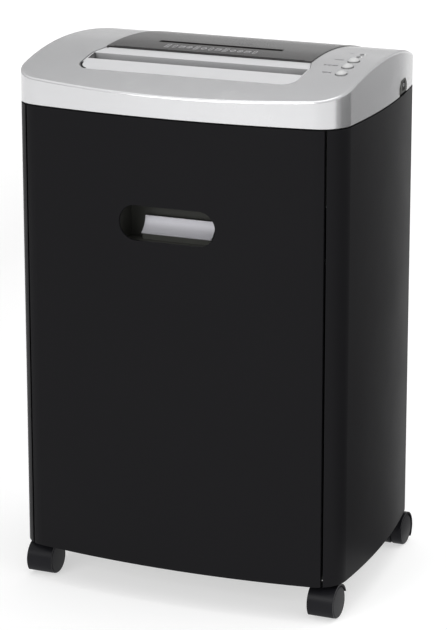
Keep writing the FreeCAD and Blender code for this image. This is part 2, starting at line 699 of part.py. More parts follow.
def make_head_housing():
    """The black tub under the silver cover: floor with the shred outlet, walls and a deck."""
    housing = body("head_housing")
    pad(housing, "XY_Plane", "floor_z", "deck_bottom - floor_z",
        outline(S.housing_inset))
    inner = S.housing_inset + S.housing_wall
    pocket(housing, "XY_Plane", "deck_bottom", "deck_bottom - floor_z - floor_thick", outline(inner))
    far = 2 * S.half_width
    pocket(housing, "XY_Plane", "deck_bottom", "deck_bottom - floor_z",
           rectangle(-far, 2 * S.front_y, far, S.housing_front))
    half = half_at(S.housing_front, S.housing_inset)
    pad(housing, "XY_Plane", "floor_z", "deck_bottom - floor_z",
        rectangle(-half, S.housing_front, half, S.housing_front + S.housing_wall))
    pad(housing, "XY_Plane", "deck_bottom", "deck_thick", outline(S.deck_inset))
    pocket(housing, "XY_Plane", "deck_bottom + deck_thick", "deck_thick",
           rounded(S.window_left, S.window_front, S.window_right, S.window_rear, 6.0))
    pocket(housing, "XY_Plane", "floor_z + floor_thick", "floor_thick",
           rectangle(-S.outlet_half, S.outlet_front, S.outlet_half, S.outlet_rear))
    pocket(housing, "XY_Plane", "deck_bottom + deck_thick", "deck_thick",
           [circle(x, y, S.screw_radius + 0.2) for x, y in cover_boss_spots()])
    pocket(housing, "XZ_Plane", "-rear_y", "housing_inset + housing_wall + 1",
           [circle(S.gland_x, S.gland_z, S.cord_hole)], toward_normal=True)


def extruded(name, role, start, length, geometry):
    """A prism for the cover's booleans, from a free sketch in the X-Y or Y-Z plane."""
    flat = doc.addObject("Sketcher::SketchObject", f"{name}_sketch")
    flat.addGeometry(geometry, False)
    axes = {"XY": (FreeCAD.Rotation(), Vector(0, 0, 1), "z"),
            "YZ": (FreeCAD.Rotation(Vector(1, 1, 1), 120), Vector(1, 0, 0), "x")}
    turn, direction, axis = axes[role]
    flat.Placement = FreeCAD.Placement(Vector(), turn)
    flat.setExpression(f"Placement.Base.{axis}", linked(start))
    made = doc.addObject("Part::Extrusion", name)
    made.Base = flat
    made.DirMode = "Custom"
    made.Dir = direction
    made.setExpression("LengthFwd", linked(length))
    made.Solid = True
    return made


def common(name, one, other):
    made = doc.addObject("Part::Common", name)
    made.Base = one
    made.Tool = other
    return made


def head_block(name, inset, drop, start):
    """The head's outer form: its outline from above under the curved top."""
    column = extruded(f"{name}_column", "XY", start, "crest_top - head_base + 20", outline(inset))
    side = extruded(f"{name}_side", "YZ", "-2 * half_width", "4 * half_width",
                    under_roof(2 * S.front_y * 0.52, 2 * S.rear_y * 0.52, S.head_base - 10, -drop))
    return common(name, column, side)


def lip_outline(grow):
    """The throat insert from above: round at the front, narrower beside the rear strip."""
    half, strip = S.lip_half + grow, S.strip_half + grow
    front, rear = S.lip_front - grow, S.lip_rear + grow
    shoulder, turn = S.slot_rear + 1.0, S.lip_corner
    edges = [line((-half + turn, front), (half - turn, front))]
    for side in (1, -1):
        start, end = (side * (half - turn), front), (side * half, front + turn)
        edges.append(bend((side * (half - turn), front + turn), turn, start, end))
        edges.append(line(end, (side * half, shoulder)))
        edges.append(line((side * half, shoulder), (side * strip, rear)))
    edges.append(line((strip, rear), (-strip, rear)))
    return edges


def disc_outline(grow):
    """The disc panel from above, a little wider at the rear."""
    return polygon((-S.disc_front_half - grow, S.disc_front - grow),
                   (S.disc_front_half + grow, S.disc_front - grow),
                   (S.disc_rear_half + grow, S.disc_rear + grow),
                   (-S.disc_rear_half - grow, S.disc_rear + grow))


KEY_TILT = math.degrees(math.asin((S.crest_y - S.key_y) / (ROOF_FRONT)))
KEY_FRAME = FreeCAD.Placement(Vector(S.key_x, S.key_y, roof_z(S.key_y)),
                              FreeCAD.Rotation(Vector(1, 0, 0), KEY_TILT))
KEYS = [("reverse_button", -1), ("stop_button", 0), ("auto_button", 1)]


def key_spot(steps):
    """A button's place in the tilted frame of the middle one, on the curved top."""
    along = steps * S.key_pitch
    return Vector(-steps * S.key_drift, along, -along ** 2 / (2 * ROOF_FRONT))


def lamp_spots():
    return [Vector(-S.key_drift * along / S.key_pitch, along, -along ** 2 / (2 * ROOF_FRONT))
            for along in (S.lamp_near, S.lamp_far)]


def in_key_frame(shape):
    shape.Placement = KEY_FRAME.multiply(shape.Placement)
    return shape


def key_tools():
    """What the buttons and lamps take out of the cover: dishes, shaft holes and lamp holes."""
    tools = []
    for _, steps in KEYS:
        spot = key_spot(steps)
        tools.append(Part.makeSphere(S.dish_radius, spot + Vector(0, 0, S.dish_radius - S.dish_depth)))
        tools.append(Part.makeCylinder(S.key_radius + S.key_gap, 20, spot - Vector(0, 0, 15)))
    for spot in lamp_spots():
        tools.append(Part.makeCylinder(S.lamp_radius + 0.1, 20, spot - Vector(0, 0, 15)))
    made = doc.addObject("Part::Feature", "key_tools")
    made.Shape = in_key_frame(tools[0].multiFuse(tools[1:]))
    return made


def notch_profile(grow):
    """The power switch's place in the cover's side: open below, its top corners cut off."""
    front, rear = S.notch_front - grow, S.notch_rear + grow
    top, slope = S.notch_top + grow, S.notch_slope
    return polygon((front, S.head_base - 5), (front, top - slope), (front + slope, top),
                   (rear - slope, top), (rear, top - slope), (rear, S.head_base - 5))


def make_head_cover():
    """The silver top: a thin shell with its places for the inserts, buttons and switch."""
    outer = head_block("cover_block", 0.0, 0.0, "head_base")
    doc.recompute()
    rim = []
    for number, edge in enumerate(outer.Shape.Edges, start=1):
        middle = edge.valueAt((edge.FirstParameter + edge.LastParameter) / 2)
        ends = [vertex.Point for vertex in edge.Vertexes]
        crossing = max(abs(end.y - ends[0].y) for end in ends) < 0.01 and abs(ends[0].y - S.crest_y) < 1
        upright = len(ends) == 2 and abs(ends[0].z - ends[1].z) > 5 and abs(ends[0].x - ends[1].x) < 0.01 \
            and abs(ends[0].y - ends[1].y) < 0.01
        if middle.z > S.head_base + 1 and not crossing and not upright:
            rim.append((number, S.cover_round, S.cover_round))
    rounded_block = doc.addObject("Part::Fillet", "cover_rounded")
    rounded_block.Base = outer
    rounded_block.Edges = rim
    hollow = head_block("cover_hollow", S.cover_wall, S.cover_wall, "head_base - 5")
    shell = cut("cover_shell", rounded_block, [hollow])
    bosses = [cylinder(f"cover_boss_{number}", (f"{x}", f"{y}", "deck_bottom + deck_thick + 0.1"),
                       "cover_boss_radius", f"{roof_z(y, -1.0) - S.deck_bottom - S.deck_thick:.3f} - 0.1")
              for number, (x, y) in enumerate(cover_boss_spots())]
    shelled = joined("cover_with_bosses", [shell] + bosses)
    openings = [extruded("lip_opening", "XY", "head_base", "60", lip_outline(S.fit_gap)),
                extruded("disc_opening", "XY", "head_base", "60", disc_outline(S.fit_gap)),
                extruded("switch_opening", "YZ", "half_width - 30", "40", notch_profile(0.0)),
                key_tools()]
    for number, (x, y) in enumerate(cover_boss_spots()):
        openings.append(cylinder(f"cover_pilot_{number}", (f"{x}", f"{y}", "deck_bottom"),
                                 "screw_radius + 0.05", "14"))
    node("head_cover", cut("cover_cut", shelled, openings))


def make_head_screws():
    """Four screws through the deck, up into the cover's bosses."""
    screws = []
    for number, (x, y) in enumerate(cover_boss_spots()):
        head = cylinder(f"head_screw_head_{number}", (f"{x}", f"{y}", "deck_bottom - screw_radius"),
                        "2 * screw_radius", "screw_radius")
        shank = cylinder(f"head_screw_shank_{number}", (f"{x}", f"{y}", "deck_bottom"), "screw_radius",
                         "12")
        screws.append(joined(f"head_screw_{number}", [head, shank]))
    group = doc.addObject("Part::Compound", "head_screw_set")
    group.Links = screws
    node("head_screws", group)


def chute_profile(grow, front_top, rear_top):
    """The paper path seen from the side: a wide mouth that narrows to a straight chute."""
    front_knee, rear_knee = (roof_z(y) - S.mouth_depth for y in (S.slot_front, S.slot_rear))
    return polygon((S.slot_front - grow, front_top), (S.slot_rear + grow, rear_top),
                   (S.slot_rear + grow, rear_knee), (S.chute_rear + grow, S.chute_top),
                   (S.chute_rear + grow, S.chute_bottom), (S.chute_front - grow, S.chute_bottom),
                   (S.chute_front - grow, S.chute_top), (S.slot_front - grow, front_knee))


def make_throat_insert():
    """The feed lip, the strip behind the slot and the chute that leads the paper down."""
    slab = extruded("insert_slab", "YZ", "-2 * half_width", "4 * half_width",
                    roof_slab(S.lip_front - 2, S.lip_rear + 2, -S.insert_drop - S.insert_thick,
                              -S.insert_drop))
    plan = extruded("insert_plan", "XY", "head_base", "60", lip_outline(0.0))
    top = common("insert_top", slab, plan)
    wall = extruded("chute_wall_block", "YZ", "-slot_half - chute_wall",
                    "2 * (slot_half + chute_wall)",
                    chute_profile(S.chute_wall, *(roof_z(y, -S.insert_drop - 1.0)
                                                  for y in (S.slot_front, S.slot_rear))))
    both = joined("insert_joined", [top, wall])
    path = extruded("chute_path", "YZ", "-slot_half", "2 * slot_half",
                    chute_profile(0.0, S.crest_top + 20, S.crest_top + 20))
    node("throat_insert", cut("insert_cut", both, [path]))


def make_disc_panel():
    """The dark panel with the disc slot."""
    slab = extruded("disc_slab", "YZ", "-2 * half_width", "4 * half_width",
                    roof_slab(S.disc_front - 2, S.disc_rear + 2, S.disc_proud - S.disc_thick,
                              S.disc_proud))
    plan = extruded("disc_plan", "XY", "head_base", "60", disc_outline(0.0))
    slot = box("disc_slot", ("-disc_slot_half", "disc_slot_front", "head_base"),
               ("2 * disc_slot_half", "disc_slot_rear - disc_slot_front", "60"))
    node("disc_panel", cut("disc_cut", common("disc_top", slab, plan), [slot]))


def make_disc_chute():
    """The path from the disc slot down and forward to the cutters."""
    chute = body("disc_chute")
    front, rear = S.disc_slot_front, S.disc_slot_rear
    top = roof_z(front, S.disc_proud - S.disc_thick) - 0.2
    wall = S.chute_wall

    def profile(grow, rise, foot):
        return polygon((front - grow, top + rise), (rear + grow, top + rise),
                       (rear + grow, S.chute_top + 18), (S.slot_rear + 16 + grow, foot),
                       (S.slot_rear + 6 - grow, foot), (front - grow, S.chute_top + 18))

    pad(chute, "YZ_Plane", "-disc_slot_half - chute_wall", "2 * (disc_slot_half + chute_wall)",
        profile(wall, 0.0, S.chute_bottom + 2))
    pocket(chute, "YZ_Plane", "disc_slot_half", "2 * disc_slot_half", profile(0.0, 5.0, S.chute_bottom - 3))


# ---------------------------------------------------------------- controls
def make_button(name, steps):
    """A round domed button with a skirt under the cover and a plunger above the board."""
    radius, dome, skirt = S.key_radius, S.key_dome, S.key_skirt
    under = -S.cover_wall - S.key_under
    bottom = -S.board_drop + S.key_travel + 0.4
    dome_radius = (radius ** 2 + dome ** 2) / (2 * dome)
    rise = 0.6
    top = Vector(0, rise + dome - dome_radius)
    middle = Vector(dome_radius * math.sin(math.asin(radius / dome_radius) / 2),
                    top.y + dome_radius * math.cos(math.asin(radius / dome_radius) / 2))
    spot = key_spot(steps)
    button = body(name)
    edges = [Part.Arc(Vector(0, rise + dome), middle, Vector(radius, rise)),
             line((radius, rise), (radius, under)), line((radius, under), (radius + skirt, under)),
             line((radius + skirt, under), (radius + skirt, under - 1.2)),
             line((radius + skirt, under - 1.2), (1.6, under - 1.2)),
             line((1.6, under - 1.2), (1.6, bottom)), line((1.6, bottom), (0, bottom)),
             line((0, bottom), (0, rise + dome))]
    revolve(button, "XZ_Plane", "0", edges)
    button.Placement = KEY_FRAME.multiply(FreeCAD.Placement(spot, FreeCAD.Rotation()))


SWITCH_HEIGHT = 3.0


def make_control_board():
    """A small board under the buttons, with a tactile switch below each and two lamps."""
    level = -S.board_drop - SWITCH_HEIGHT
    pieces = [Part.makeBox(30, 96, S.board_thick, Vector(-17, -30, level - S.board_thick))]
    for _, steps in KEYS:
        spot = key_spot(steps)
        pieces.append(Part.makeBox(6, 6, SWITCH_HEIGHT + spot.z, Vector(spot.x - 3, spot.y - 3, level)))
    feature("control_board", in_key_frame(pieces[0].multiFuse(pieces[1:]).removeSplitter()))


def make_lenses():
    """Two round lamp lenses, level with the cover."""
    lenses = [Part.makeCylinder(S.lamp_radius, 6.0, spot - Vector(0, 0, 5.6)) for spot in lamp_spots()]
    feature("indicator_lenses", in_key_frame(Part.makeCompound(lenses)))


SWITCH_MIDDLE = (S.notch_front + S.notch_rear) / 2
SWITCH_TURN = math.degrees(math.asin((SWITCH_MIDDLE - SIDE_CENTRE[1]) / S.side_radius))
SWITCH_FRAME = FreeCAD.Placement(Vector(side_face_x(SWITCH_MIDDLE), SWITCH_MIDDLE, 0),
                                 FreeCAD.Rotation(Vector(0, 0, 1), SWITCH_TURN))
ROCKER_HALF = 6.5
ROCKER_Z = (S.head_base + 4, S.head_base + 12)
ROCKER_LEAN = 7.0
PIN_DEPTH = -4.0
PIN_RADIUS = 1.5
PIN_REACH = 1.2
PIN_FIT = 0.05


def rocker_pin(radius, reach):
    """The rocker's upright pin, from reach below its lower face to reach above its upper one."""
    return Part.makeCylinder(radius, ROCKER_Z[1] - ROCKER_Z[0] + 2 * reach,
                             Vector(PIN_DEPTH, 0, ROCKER_Z[0] - reach))


def make_power_switch():
    """A frame that fills the notch in the cover, and a rocker that tips about an upright pin."""
    front, rear = -(S.notch_rear - S.notch_front) / 2 + 0.3, (S.notch_rear - S.notch_front) / 2 - 0.3
    top, slope, foot = S.notch_top - 0.3, S.notch_slope, S.deck_bottom + S.deck_thick + 0.2
    face = [Vector(0, y, z) for y, z in ((front, foot), (front, top - slope), (front + slope, top),
                                         (rear - slope, top), (rear, top - slope), (rear, foot))]
    frame = Part.Face(Part.makePolygon(face + face[:1])).extrude(Vector(-14, 0, 0))
    frame.translate(Vector(0.4, 0, 0))
    hole = Part.makeBox(12, 2 * ROCKER_HALF + 1.0, ROCKER_Z[1] - ROCKER_Z[0] + 0.8,
                        Vector(-9.5, -ROCKER_HALF - 0.5, ROCKER_Z[0] - 0.4))
    frame = frame.cut([hole, rocker_pin(PIN_RADIUS + PIN_FIT, PIN_REACH + 2 * PIN_FIT)])
    frame.Placement = SWITCH_FRAME
    feature("power_switch_frame", frame)
    lean = math.tan(math.radians(ROCKER_LEAN))
    outer = [Vector(-1.2, 0, 0), Vector(-1.2 + lean * ROCKER_HALF, ROCKER_HALF, 0),
             Vector(-5.5, ROCKER_HALF - 0.8, 0), Vector(-7.5, 1.8, 0), Vector(-7.5, -1.8, 0),
             Vector(-5.5, -ROCKER_HALF + 0.8, 0), Vector(-1.2 + lean * ROCKER_HALF, -ROCKER_HALF, 0)]
    rocker = Part.Face(Part.makePolygon(outer + outer[:1]))
    rocker.translate(Vector(0, 0, ROCKER_Z[0]))
    rocker = rocker.extrude(Vector(0, 0, ROCKER_Z[1] - ROCKER_Z[0]))
    rocker = rocker.fuse(rocker_pin(PIN_RADIUS, PIN_REACH)).removeSplitter()
    rocker.rotate(Vector(PIN_DEPTH, 0, 0), Vector(0, 0, 1), -ROCKER_LEAN)
    rocker.Placement = SWITCH_FRAME.multiply(rocker.Placement)
    feature("power_rocker", rocker)


# ---------------------------------------------------------------- cutters
REAR_SHAFT_Y = S.front_shaft_y + S.shaft_spacing
RIGHT_FACE = S.plate_x + S.plate_thick
GEAR_START = RIGHT_FACE + S.gear_gap
BLADE_GAP = (S.blade_pitch - 2 * S.blade_thick) / 2


def turned_bar(steps):
    """A bar along X made of cylinders, given as (start, end, radius)."""
    bars = [Part.makeCylinder(radius, end - start, Vector(start, 0, 0), Vector(1, 0, 0))
            for start, end, radius in steps]
    return bars[0].multiFuse(bars[1:]).removeSplitter() if len(bars) > 1 else bars[0]


def hexagon(flats, x):
    radius = flats / math.sqrt(3)
    corners = [Vector(x, radius * math.cos(math.radians(60 * turn)),
                      radius * math.sin(math.radians(60 * turn))) for turn in range(7)]
    return Part.Face(Part.makePolygon(corners))


def make_shaft(name, y, right_end):
    """A hexagonal cutter shaft with round journals; its ends carry the gears."""
    middle = hexagon(S.hex_flats, -S.plate_x + 1).extrude(Vector(2 * S.plate_x - 2, 0, 0))
    left_end = -RIGHT_FACE - S.gear_gap - S.gear_width - 2
    ends = turned_bar([(left_end, -S.plate_x + 1, S.journal_radius),
                       (S.plate_x - 1, right_end, S.journal_radius)])
    shaft = middle.multiFuse([ends]).removeSplitter()
    shaft.translate(Vector(0, y, S.shaft_z))
    feature(name, shaft)


NOTCHES = 4
NOTCH_DEPTH = 2.6


def cutter_disc():
    """One hooked blade with its collar, bored for the hexagonal shaft."""
    reach, root = S.disc_radius, S.disc_radius - NOTCH_DEPTH
    points, edges = [], []
    for notch in range(NOTCHES):
        start = 2 * math.pi * notch / NOTCHES
        end = start + 2 * math.pi / NOTCHES - 0.16
        at = [Vector(0, reach * math.cos(t), reach * math.sin(t)) for t in (start, (start + end) / 2, end)]
        low = Vector(0, root * math.cos(start), root * math.sin(start))
        points.append((low, at))
    for number, (low, at) in enumerate(points):
        following = points[(number + 1) % NOTCHES][0]
        edges.append(Part.makeLine(low, at[0]))
        edges.append(Part.Arc(*at).toShape())
        edges.append(Part.makeLine(at[2], following))
    blade = Part.Face(Part.Wire(edges)).extrude(Vector(S.blade_thick, 0, 0))
    collar = Part.makeCylinder(S.collar_radius, S.blade_pitch - 0.05, Vector(), Vector(1, 0, 0))
    bore = hexagon(S.hex_flats + 0.1, -1).extrude(Vector(S.blade_pitch + 2, 0, 0))
    return blade.fuse(collar).cut(bore).removeSplitter()


def make_discs(name, y, shift, turn):
    """A row of equal blades, each one step round from the last."""
    blade = cutter_disc()
    if turn < 0:
        blade = blade.mirror(Vector(S.blade_pitch / 2, 0, 0), Vector(1, 0, 0))
        blade = blade.mirror(Vector(), Vector(0, 1, 0))
    row = []
    for number in range(int(S.blade_count)):
        one = blade.copy()
        one.rotate(Vector(), Vector(1, 0, 0), 60.0 * (number % 3))
        one.translate(Vector(S.blade_start + shift + number * S.blade_pitch, y, S.shaft_z))
        row.append(one)
    feature(name, Part.makeCompound(row))


def comb(name, y_bar, y_tip, shift):
    """A bar with fingers that reach in over the collars, between the blades."""
    low = S.shaft_z - S.comb_height / 2
    bar = Part.makeBox(2 * S.plate_x - 0.2, S.comb_thick, S.comb_height,
                       Vector(-S.plate_x + 0.1, y_bar, low))
    near, far = sorted((y_bar + S.comb_thick / 2, y_tip))
    fingers = []
    for number in range(int(S.blade_count)):
        x = S.blade_start + shift + number * S.blade_pitch + 0.4
        fingers.append(Part.makeBox(S.blade_pitch - S.blade_thick - 0.8, far - near, S.comb_height / 2,
                                    Vector(x, near, S.shaft_z - S.comb_height / 4)))
    feature(name, bar.multiFuse(fingers).removeSplitter())


RODS = [(S.plate_front + S.rod_edge, S.plate_bottom + S.rod_edge),
        (S.plate_front + S.rod_edge, S.plate_top - S.rod_edge),
        (S.left_plate_rear - S.rod_edge, S.plate_bottom + S.rod_edge)]


def make_frame_plates():
    """The two steel plates that carry the shafts, with round holes for bushes and rods."""
    pilot_y = REDUCTION[0]
    for name, x, rear in (("cutter_left_plate", "-plate_x - plate_thick", S.left_plate_rear),
                          ("cutter_right_plate", "plate_x", S.right_plate_rear)):
        plate = body(name)
        pad(plate, "YZ_Plane", x, "plate_thick", rectangle(S.plate_front, S.plate_bottom, rear, S.plate_top))
        holes = [circle(y, S.shaft_z, S.bush_radius) for y in (S.front_shaft_y, REAR_SHAFT_Y)]
        holes += [circle(y, z, S.rod_radius) for y, z in RODS]
        if rear > 0:
            holes.append(circle(pilot_y, S.reduction_z, S.rod_radius))
            holes.append(circle(MOTOR[0], S.motor_z, S.motor_shaft_radius + 4))
        pocket(plate, "YZ_Plane", f"{x} + plate_thick + 1", "plate_thick + 2", holes)


def make_rods():
    rods = [cylinder(f"tie_rod_{number}", ("-plate_x - plate_thick - rod_proud", f"{y}", f"{z}"),
                     "rod_radius", "2 * (plate_x + plate_thick + rod_proud)", "X")
            for number, (y, z) in enumerate(RODS)]
    group = doc.addObject("Part::Compound", "tie_rod_set")
    group.Links = rods
    node("cutter_tie_rods", group)


def make_bushes():
    """Four plain bushes, one at each end of each shaft."""
    bushes = []
    for x in ("-plate_x - plate_thick", "plate_x"):
        for y in (S.front_shaft_y, REAR_SHAFT_Y):
            number = len(bushes)
            outer = cylinder(f"bush_outer_{number}", (x, f"{y}", "shaft_z"), "bush_radius",
                             "plate_thick", "X")
            inner = cylinder(f"bush_inner_{number}", (f"{x} - 1", f"{y}", "shaft_z"),
                             "journal_radius + bush_fit", "plate_thick + 2", "X")
            bushes.append(cut(f"bush_{number}", outer, [inner]))
    group = doc.addObject("Part::Compound", "bush_set")
    group.Links = bushes
    node("cutter_bushes", group)


# ---------------------------------------------------------------- gears and motor
def gear_blank(module, teeth, width):
    """An involute gear about X, its face at x = 0 and a tooth centred on +Y."""
    wire_maker = fcgear.FCWireBuilder()
    involute.CreateExternalGear(wire_maker, module, int(teeth), 20.0, True)
    face = Part.Face(Part.Wire([curve.toShape() for curve in wire_maker.wire]))
    tip = max(math.hypot(v.X, v.Y) for v in face.Vertexes)
    pitch = 2 * math.pi / teeth
    outer = [math.atan2(v.Y, v.X) * teeth for v in face.Vertexes if math.hypot(v.X, v.Y) > tip - 0.05]
    phase = math.atan2(sum(map(math.sin, outer)), sum(map(math.cos, outer))) / teeth
    gear = face.extrude(Vector(0, 0, width))
    gear.rotate(Vector(), Vector(0, 0, 1), -math.degrees(phase % pitch))
    gear.rotate(Vector(), Vector(1, 1, 1), 120)
    return gear


def meshed_turn(teeth, direction):
    """How far to turn a gear so that a gap, not a tooth, faces along direction (degrees)."""
    return direction + 180.0 / teeth


def direction_to(a, b):
    return math.degrees(math.atan2(b[1] - a[1], b[0] - a[0]))


REAR_SHAFT = (REAR_SHAFT_Y, S.shaft_z)
FRONT_SHAFT = (S.front_shaft_y, S.shaft_z)


def beside(axis, distance, height):
    """The place at that height, behind axis and at that distance from it."""
    return (axis[0] + math.sqrt(distance ** 2 - (height - axis[1]) ** 2), height)


REDUCTION = beside(REAR_SHAFT, S.slow_module * (S.output_teeth + S.small_teeth) / 2 + S.backlash,
                   S.reduction_z)
MOTOR = beside(REDUCTION, S.fast_module * (S.large_teeth + S.pinion_teeth) / 2 + S.backlash, S.motor_z)


def placed_gear(module, teeth, width, x, axis, turn):
    gear = gear_blank(module, teeth, width)
    gear.rotate(Vector(), Vector(1, 0, 0), turn)
    gear.translate(Vector(x, axis[0], axis[1]))
    return gear


def drilled(shape, radius, x, axis):
    return shape.cut(Part.makeCylinder(radius, 100, Vector(x - 50, axis[0], axis[1]), Vector(1, 0, 0)))


def make_gears():
    """The pair that ties the cutters together, the reduction and the motor's pinion."""
    left = -RIGHT_FACE - S.gear_gap - S.gear_width
    front = placed_gear(S.pair_module, S.sync_teeth, S.gear_width, left, FRONT_SHAFT,
                        meshed_turn(S.sync_teeth, 0.0))
    rear = placed_gear(S.pair_module, S.sync_teeth, S.gear_width, left, REAR_SHAFT, 180.0)
    feature("sync_gear_front", drilled(front, S.journal_radius, left, FRONT_SHAFT))
    feature("sync_gear_rear", drilled(rear, S.journal_radius, left, REAR_SHAFT))

    slow_line = direction_to(REAR_SHAFT, REDUCTION)
    output = placed_gear(S.slow_module, S.output_teeth, S.gear_width, GEAR_START, REAR_SHAFT, slow_line)
    feature("output_gear", drilled(output, S.journal_radius, GEAR_START, REAR_SHAFT))
    small = placed_gear(S.slow_module, S.small_teeth, S.gear_width + S.gear_gap, GEAR_START, REDUCTION,
                        meshed_turn(S.small_teeth, slow_line + 180.0))
    fast_line = direction_to(REDUCTION, MOTOR)
    large_x = GEAR_START + S.gear_width + S.gear_gap
    large = placed_gear(S.fast_module, S.large_teeth, S.large_width, large_x, REDUCTION, fast_line)
    both = small.fuse(large).removeSplitter()
    feature("reduction_gear", drilled(both, S.rod_radius + 0.05, GEAR_START, REDUCTION))
    axle_length = large_x + S.large_width + 2 - S.plate_x
    axle = turned_bar([(S.plate_x, S.plate_x + axle_length, S.rod_radius)])
    axle.translate(Vector(0, REDUCTION[0], REDUCTION[1]))
    feature("reduction_axle", axle)

    pinion = placed_gear(S.fast_module, S.pinion_teeth, S.large_width, large_x, MOTOR,
                         meshed_turn(S.pinion_teeth, fast_line + 180.0))
    shaft = turned_bar([(MOTOR_END - 8, large_x + S.large_width + 1, S.motor_shaft_radius)])
    shaft.translate(Vector(0, MOTOR[0], MOTOR[1]))
    feature("motor_rotor", pinion.fuse(shaft).removeSplitter())


MOTOR_END = S.plate_x - 0.1


def make_motor():
    """The motor's can, its nose against the right plate, bored for the shaft."""
    tail, step = MOTOR_END - S.motor_length, 4
    motor = turned_bar([(tail, tail + step, S.motor_radius - 12),
                        (tail + step, MOTOR_END - step, S.motor_radius),
                        (MOTOR_END - step, MOTOR_END, S.motor_radius - 8)])
    bore = Part.makeCylinder(S.motor_shaft_radius + 0.05, 9, Vector(MOTOR_END - 8.5, 0, 0), Vector(1, 0, 0))
    motor = motor.cut(bore)
    motor.translate(Vector(0, MOTOR[0], MOTOR[1]))
    feature("motor_body", motor)


def make_main_board():
    """The power board on the floor of the housing: board, capacitors and a heat sink."""
    board = Part.makeBox(S.board_length, S.board_width, S.board_thick,
                         Vector(S.board_x, S.board_y, S.board_z))
    parts = [Part.makeCylinder(8, 26, Vector(S.board_x + x, S.board_y + y, S.board_z + S.board_thick))
             for x, y in ((16, 20), (36, 20))]
    parts.append(Part.makeBox(6, 50, 24, Vector(S.board_x + S.board_length - 36, S.board_y + 15,
                                           S.board_z + S.board_thick)))
    parts.append(Part.makeBox(22, 18, 16, Vector(S.board_x + 12, S.board_y + 44, S.board_z + S.board_thick)))
    legs = [Part.makeCylinder(3, S.board_z - S.floor_z - S.floor_thick, Vector(S.board_x + x, S.board_y + y,
            S.floor_z + S.floor_thick)) for x in (6, S.board_length - 6)
            for y in (6, S.board_width - 6)]
    feature("main_board", board.multiFuse(parts + legs).removeSplitter())


def make_bin_switch():
    """The safety switch on the housing's front wall, with its plunger just clear of the panel."""
    middle = S.switch_x + S.switch_width / 2
    tip = front_face_y(middle, S.door_wall) + S.plunger_gap
    case = box("switch_case", ("switch_x", "housing_front - switch_depth", "switch_z"),
               ("switch_width", "switch_depth", "switch_height"))
    plunger = cylinder("switch_plunger", (f"{middle}", f"{tip}", "switch_z + switch_height / 2"),
                       "plunger_radius", f"housing_front - switch_depth + 1 - ({tip})", "Y")
    node("bin_switch", joined("switch_joined", [case, plunger]))


# ---------------------------------------------------------------- casters
def make_caster(name, side, end):
    """A twin-wheel caster about its stem; the wheels trail away from the cabinet's middle."""
    away = -1 if end == "front" else 1
    spot = (f"{side} * {end}_caster_x", f"{end}_caster_y")
    axle = (away * S.trail, S.wheel_radius)
    stem = cylinder(f"caster_{name}_stem_bar", (*spot, "stem_bottom"), "stem_radius",
                    "stem_top - stem_bottom")
    node(f"caster_{name}_stem", stem)

    hood = body(f"caster_{name}_hood")
    inside = S.wheel_radius + S.wheel_gap
    outside = inside + S.hood_wall
    reach = outside * 2
    web_start, web_length = "-wheel_inner + 0.4", "2 * (wheel_inner - 0.4)"
    pad(hood, "YZ_Plane", "-wheel_outer", "2 * wheel_outer",
        [circle(*axle, inside), circle(*axle, outside)])
    inner_edge = axle[0] - away * 4.0
    pocket(hood, "YZ_Plane", "wheel_outer + 1", "2 * wheel_outer + 2",
           rectangle(inner_edge, 0, inner_edge - away * reach, axle[1] + 6))
    pad(hood, "YZ_Plane", web_start, web_length, [circle(*axle, inside + 0.5)])
    pocket(hood, "YZ_Plane", "wheel_outer + 1", "2 * wheel_outer + 2",
           rectangle(axle[0] - reach, -reach, axle[0] + reach, S.hood_bottom))
    pad(hood, "XY_Plane", "stem_bottom", "boss_top - stem_bottom", [circle(0, 0, S.boss_radius)])
    pocket(hood, "YZ_Plane", "wheel_outer", "wheel_outer - wheel_inner", [circle(*axle, inside)])
    pocket(hood, "YZ_Plane", "-wheel_outer", "wheel_outer - wheel_inner", [circle(*axle, inside)],
           toward_normal=True)
    pad(hood, "YZ_Plane", "-wheel_outer + 1.6", "2 * wheel_outer - 3.2", [circle(*axle, S.stub_radius)])
    pocket(hood, "XY_Plane", "boss_top + 1", "boss_top + 1 - stem_bottom", [circle(0, 0, S.stem_radius)])
    place(hood, *spot, "0")

    for hand, start in (("left", -1), ("right", 1)):
        wheel = body(f"caster_{name}_{hand}_wheel")
        inner, outer, rim = start * S.wheel_inner, start * S.wheel_outer, S.wheel_radius
        shoulder = start * (S.wheel_outer - 2.6)
        bore = S.stub_radius + S.stub_fit
        blind = start * (S.wheel_outer - 1.2)
        bulge = Vector(start * (S.wheel_outer - 0.75), rim - 0.75)
        dome = Vector(start * (S.wheel_outer - 0.1), rim * 0.5)
        edges = [line((inner, bore), (inner, rim)), line((inner, rim), (shoulder, rim)),
                 Part.Arc(Vector(shoulder, rim), bulge, Vector(start * (S.wheel_outer - 0.3), rim - 2.6)),
                 Part.Arc(Vector(start * (S.wheel_outer - 0.3), rim - 2.6), dome,
                          Vector(outer, S.cap_flat)),
                 line((outer, S.cap_flat), (outer, 0)), line((outer, 0), (blind, 0)),
                 line((blind, 0), (blind, bore)),
                 line((blind, bore), (inner, bore))]
        revolve(wheel, "XY_Plane", "0", edges, "H_Axis")
        place(wheel, spot[0], f"{spot[1]} + {away} * trail", "wheel_radius")


